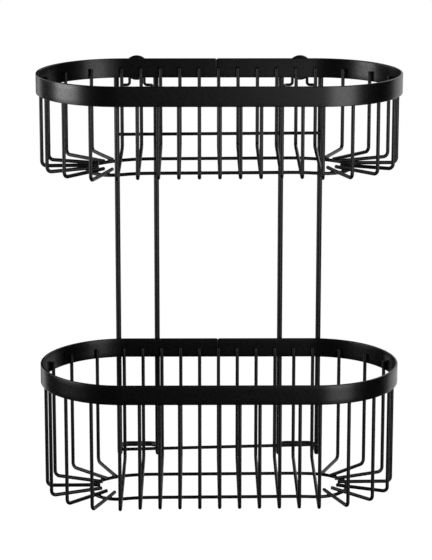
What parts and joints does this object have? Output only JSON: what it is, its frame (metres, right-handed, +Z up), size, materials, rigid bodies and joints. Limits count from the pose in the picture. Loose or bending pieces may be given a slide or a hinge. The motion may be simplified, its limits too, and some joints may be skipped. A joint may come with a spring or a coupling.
{
  "type": "two-tier wall shelf",
  "caption": "Wall-hung rack of black coated steel wire: two oblong baskets with flat rims on two long wire hangers that hook over round wall studs.",
  "frame": {"origin": "on the wall plane, midway between the two wall studs and level with their centres", "axes": "+X to the right as seen from the front, +Y into the wall, +Z up"},
  "size_m": [0.3, 0.1732, 0.3577],
  "materials": {
    "rim_coat": "satin black powder coat on steel strip",
    "wire_coat": "satin black powder coat on steel wire",
    "hanger_coat": "satin black powder coat on heavier steel wire",
    "stud_coat": "satin black coat on turned steel"
  },
  "bodies": {
    "wall_studs": {"wall_stud_left": "stud_coat", "wall_stud_right": "stud_coat"},
    "rack": {"upper_rim_band": "rim_coat", "lower_rim_band": "rim_coat", "upper_cross_wire_01": "wire_coat", "upper_cross_wire_02": "wire_coat", "upper_cross_wire_03": "wire_coat", "upper_cross_wire_04": "wire_coat", "upper_cross_wire_05": "wire_coat", "upper_cross_wire_06": "wire_coat", "upper_cross_wire_07": "wire_coat", "upper_cross_wire_08": "wire_coat", "upper_cross_wire_09": "wire_coat", "upper_cross_wire_10": "wire_coat", "upper_cross_wire_11": "wire_coat", "upper_end_wire_left_1": "wire_coat", "upper_end_wire_left_2": "wire_coat", "upper_end_wire_left_3": "wire_coat", "upper_end_wire_left_4": "wire_coat", "upper_end_wire_left_5": "wire_coat", "upper_end_wire_left_6": "wire_coat", "upper_end_wire_left_7": "wire_coat", "upper_end_wire_right_1": "wire_coat", "upper_end_wire_right_2": "wire_coat", "upper_end_wire_right_3": "wire_coat", "upper_end_wire_right_4": "wire_coat", "upper_end_wire_right_5": "wire_coat", "upper_end_wire_right_6": "wire_coat", "upper_end_wire_right_7": "wire_coat", "upper_base_loop": "wire_coat", "upper_rear_rail": "wire_coat", "lower_cross_wire_01": "wire_coat", "lower_cross_wire_02": "wire_coat", "lower_cross_wire_03": "wire_coat", "lower_cross_wire_04": "wire_coat", "lower_cross_wire_05": "wire_coat", "lower_cross_wire_06": "wire_coat", "lower_cross_wire_07": "wire_coat", "lower_cross_wire_08": "wire_coat", "lower_cross_wire_09": "wire_coat", "lower_cross_wire_10": "wire_coat", "lower_cross_wire_11": "wire_coat", "lower_end_wire_left_1": "wire_coat", "lower_end_wire_left_2": "wire_coat", "lower_end_wire_left_3": "wire_coat", "lower_end_wire_left_4": "wire_coat", "lower_end_wire_left_5": "wire_coat", "lower_end_wire_left_6": "wire_coat", "lower_end_wire_left_7": "wire_coat", "lower_end_wire_right_1": "wire_coat", "lower_end_wire_right_2": "wire_coat", "lower_end_wire_right_3": "wire_coat", "lower_end_wire_right_4": "wire_coat", "lower_end_wire_right_5": "wire_coat", "lower_end_wire_right_6": "wire_coat", "lower_end_wire_right_7": "wire_coat", "lower_base_loop": "wire_coat", "lower_rear_rail": "wire_coat", "hanger_left": "hanger_coat", "hanger_right": "hanger_coat"}
  },
  "joints": [
    {"name": "rack_lift", "type": "slide", "parent": "wall_studs", "child": "rack", "axis": [0, 0, 1], "range_m": [0, 0.03]}
  ]
}
